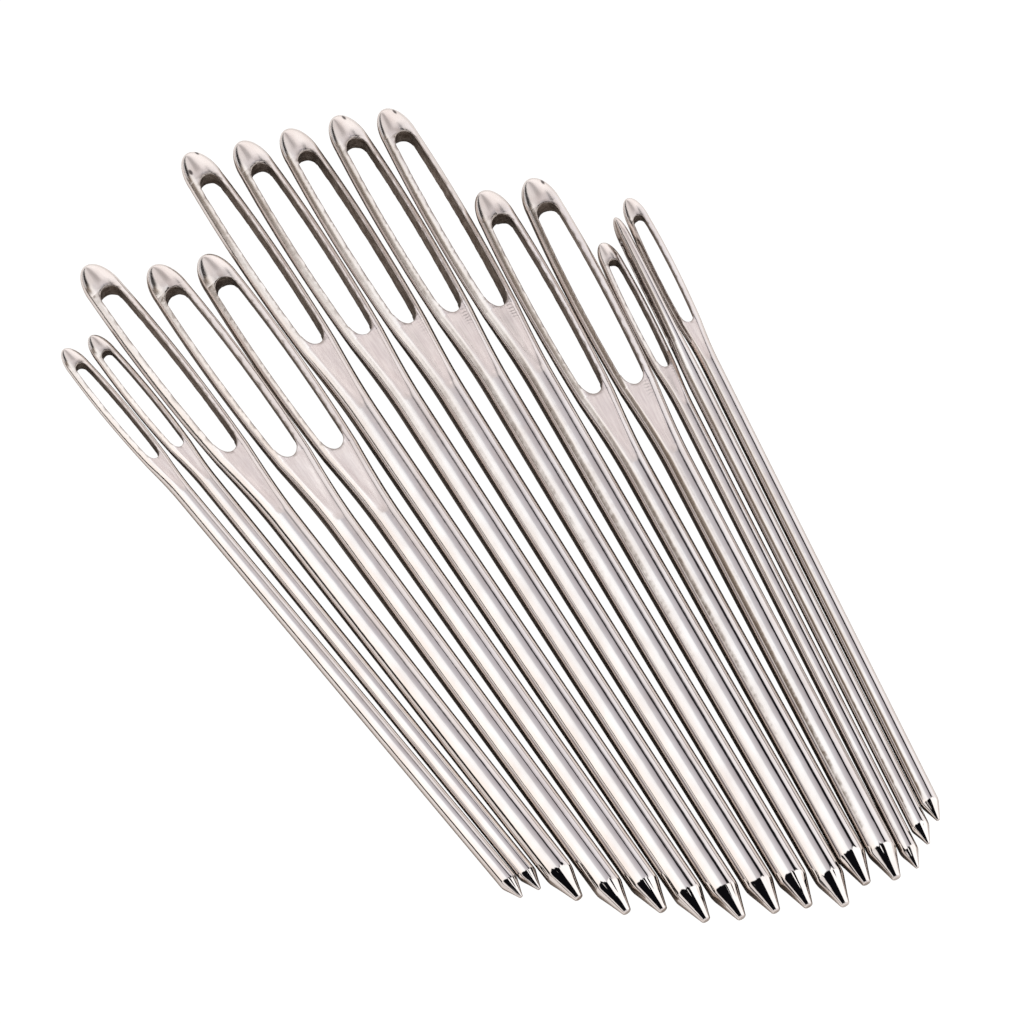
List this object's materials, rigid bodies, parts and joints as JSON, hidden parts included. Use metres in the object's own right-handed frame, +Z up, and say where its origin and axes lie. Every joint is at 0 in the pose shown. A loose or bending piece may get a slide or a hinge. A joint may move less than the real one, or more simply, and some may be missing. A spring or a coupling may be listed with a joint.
{
  "type": "yarn needle set",
  "caption": "Set of loose blunt-tipped yarn needles in three sizes, each with a long open eye, fanned side by side.",
  "frame": {"origin": "middle of the fan's own box, on the surface that the needles lie on", "axes": "+X along the middle large needle towards its point, +Y across the fan towards the needle that lies on edge, +Z up"},
  "size_m": [0.0734, 0.0418, 0.002],
  "materials": {
    "plated_steel": "bright nickel plate on drawn steel wire, polished, finely drawn lengthways"
  },
  "bodies": {
    "small_needle_1": {"small_needle_1_eye_end": "plated_steel", "small_needle_1_shank": "plated_steel"},
    "small_needle_2": {"small_needle_2_eye_end": "plated_steel", "small_needle_2_shank": "plated_steel"},
    "medium_needle_1": {"medium_needle_1_eye_end": "plated_steel", "medium_needle_1_shank": "plated_steel"},
    "medium_needle_2": {"medium_needle_2_eye_end": "plated_steel", "medium_needle_2_shank": "plated_steel"},
    "medium_needle_3": {"medium_needle_3_eye_end": "plated_steel", "medium_needle_3_shank": "plated_steel"},
    "large_needle_1": {"large_needle_1_eye_end": "plated_steel", "large_needle_1_shank": "plated_steel"},
    "large_needle_2": {"large_needle_2_eye_end": "plated_steel", "large_needle_2_shank": "plated_steel"},
    "large_needle_3": {"large_needle_3_eye_end": "plated_steel", "large_needle_3_shank": "plated_steel"},
    "large_needle_4": {"large_needle_4_eye_end": "plated_steel", "large_needle_4_shank": "plated_steel"},
    "large_needle_5": {"large_needle_5_eye_end": "plated_steel", "large_needle_5_shank": "plated_steel"},
    "medium_needle_4": {"medium_needle_4_eye_end": "plated_steel", "medium_needle_4_shank": "plated_steel"},
    "medium_needle_5": {"medium_needle_5_eye_end": "plated_steel", "medium_needle_5_shank": "plated_steel"},
    "small_needle_3": {"small_needle_3_eye_end": "plated_steel", "small_needle_3_shank": "plated_steel"},
    "small_needle_4": {"small_needle_4_eye_end": "plated_steel", "small_needle_4_shank": "plated_steel"},
    "small_needle_5": {"small_needle_5_eye_end": "plated_steel", "small_needle_5_shank": "plated_steel"}
  },
  "joints": [
    {"name": "small_needle_1_lift", "type": "slide", "parent": "large_needle_3", "child": "small_needle_1", "axis": [0, 0, 1], "range_m": [0, 0.02]},
    {"name": "small_needle_2_lift", "type": "slide", "parent": "large_needle_3", "child": "small_needle_2", "axis": [0, 0, 1], "range_m": [0, 0.02]},
    {"name": "medium_needle_1_lift", "type": "slide", "parent": "large_needle_3", "child": "medium_needle_1", "axis": [0, 0, 1], "range_m": [0, 0.02]},
    {"name": "medium_needle_2_lift", "type": "slide", "parent": "large_needle_3", "child": "medium_needle_2", "axis": [0, 0, 1], "range_m": [0, 0.02]},
    {"name": "medium_needle_3_lift", "type": "slide", "parent": "large_needle_3", "child": "medium_needle_3", "axis": [0, 0, 1], "range_m": [0, 0.02]},
    {"name": "large_needle_1_lift", "type": "slide", "parent": "large_needle_3", "child": "large_needle_1", "axis": [0, 0, 1], "range_m": [0, 0.02]},
    {"name": "large_needle_2_lift", "type": "slide", "parent": "large_needle_3", "child": "large_needle_2", "axis": [0, 0, 1], "range_m": [0, 0.02]},
    {"name": "large_needle_4_lift", "type": "slide", "parent": "large_needle_3", "child": "large_needle_4", "axis": [0, 0, 1], "range_m": [0, 0.02]},
    {"name": "large_needle_5_lift", "type": "slide", "parent": "large_needle_3", "child": "large_needle_5", "axis": [0, 0, 1], "range_m": [0, 0.02]},
    {"name": "medium_needle_4_lift", "type": "slide", "parent": "large_needle_3", "child": "medium_needle_4", "axis": [0, 0, 1], "range_m": [0, 0.02]},
    {"name": "medium_needle_5_lift", "type": "slide", "parent": "large_needle_3", "child": "medium_needle_5", "axis": [0, 0, 1], "range_m": [0, 0.02]},
    {"name": "small_needle_3_lift", "type": "slide", "parent": "large_needle_3", "child": "small_needle_3", "axis": [0, 0, 1], "range_m": [0, 0.02]},
    {"name": "small_needle_4_lift", "type": "slide", "parent": "large_needle_3", "child": "small_needle_4", "axis": [0, 0, 1], "range_m": [0, 0.02]},
    {"name": "small_needle_5_lift", "type": "slide", "parent": "large_needle_3", "child": "small_needle_5", "axis": [0, 0, 1], "range_m": [0, 0.02]}
  ]
}
